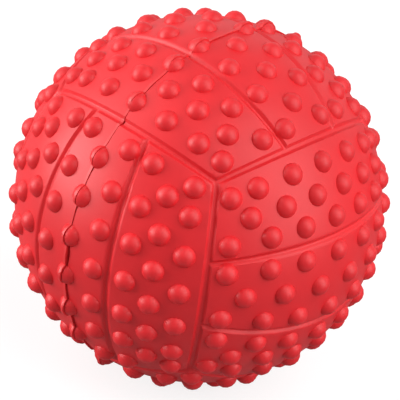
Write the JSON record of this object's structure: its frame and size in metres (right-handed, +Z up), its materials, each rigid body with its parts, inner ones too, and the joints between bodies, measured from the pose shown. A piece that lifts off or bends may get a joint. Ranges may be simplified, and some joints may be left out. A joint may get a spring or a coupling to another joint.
{
  "type": "squeaky dog ball",
  "caption": "Hollow red rubber dog ball with raised nubs, volleyball panel grooves and a bonded mould seam, with a plug-in reed squeaker that sounds when the ball is squeezed.",
  "frame": {"origin": "centre of the ball", "axes": "+Z up through the middle of the top panel group, -X out through the squeaker, mould seam in the plane x = 0"},
  "size_m": [0.0691, 0.0696, 0.0696],
  "materials": {
    "red_rubber": "satin moulded natural rubber, red",
    "rubber_cement": "cured rubber cement and flash, darker red",
    "housing_plastic": "moulded off-white polyethylene",
    "cap_plastic": "moulded off-white polyethylene",
    "core_plastic": "moulded off-white plastic",
    "reed_strip": "rolled spring brass strip"
  },
  "bodies": {
    "ball": {"left_half_shell": "red_rubber", "right_half_shell": "red_rubber", "seam_bond": "rubber_cement", "squeaker_housing": "housing_plastic", "squeaker_cap": "cap_plastic", "reed_seat": "core_plastic", "reed_wedge": "core_plastic"},
    "reed": {"reed": "reed_strip"}
  },
  "joints": [
    {"name": "reed_flex", "type": "hinge", "parent": "ball", "child": "reed", "pos_m": [-0.0289, 0, 0], "axis": [0, -1, 0], "range_deg": [-2.5, 4], "stiffness_Nm_per_rad": 0.014}
  ]
}
